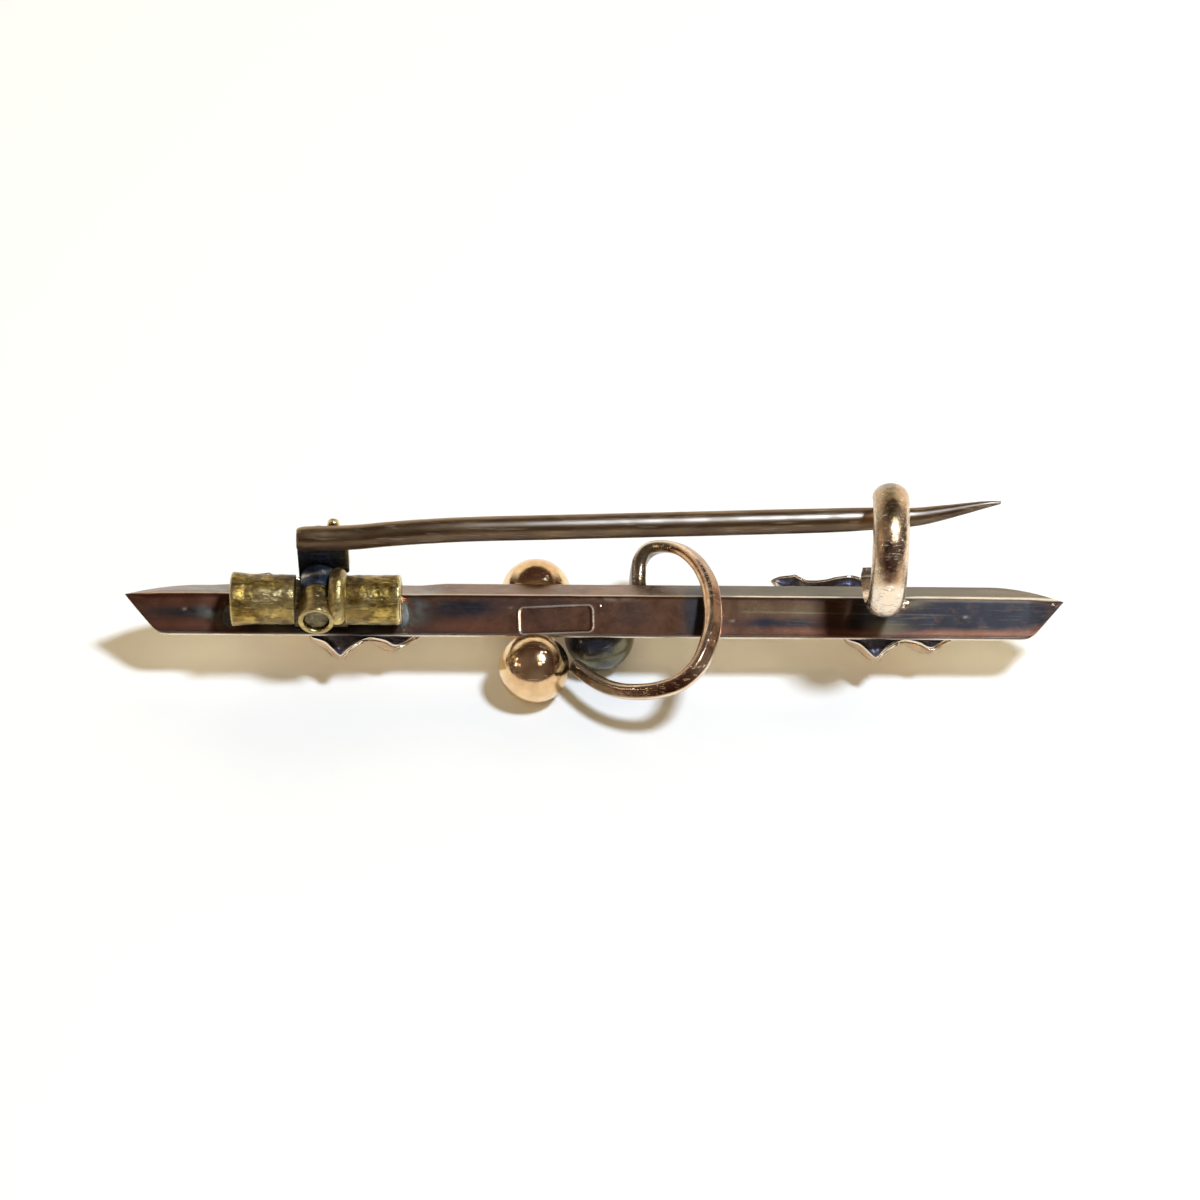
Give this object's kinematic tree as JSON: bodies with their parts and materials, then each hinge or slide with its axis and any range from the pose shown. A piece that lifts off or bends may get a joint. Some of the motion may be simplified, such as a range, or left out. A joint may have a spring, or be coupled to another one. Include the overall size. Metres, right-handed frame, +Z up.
{
  "type": "bar brooch",
  "caption": "Gold bar brooch with soldered leaves, berries and a wire tendril, a C catch, and a pin on a riveted hinge.",
  "frame": {"origin": "on the table, under the middle of the whole brooch as it lies face down", "axes": "+X along the bar from the hinge to the catch, +Y to the catch's open side, +Z up, out of the brooch's back"},
  "size_m": [0.045, 0.0101, 0.0104],
  "materials": {
    "rose_gold": "worn polish with dark tarnish",
    "rivet_steel": "dull, tarnished",
    "pin_bronze": "dark, drawn, slightly streaked"
  },
  "bodies": {
    "frame": {"brooch_frame": "rose_gold", "hinge_rivet": "rivet_steel"},
    "pin": {"pin": "pin_bronze"}
  },
  "joints": [
    {"name": "pin_hinge", "type": "hinge", "parent": "frame", "child": "pin", "pos_m": [-0.01318, 0.00045, 0.00465], "axis": [0, -1, 0], "range_deg": [0, 85]}
  ]
}
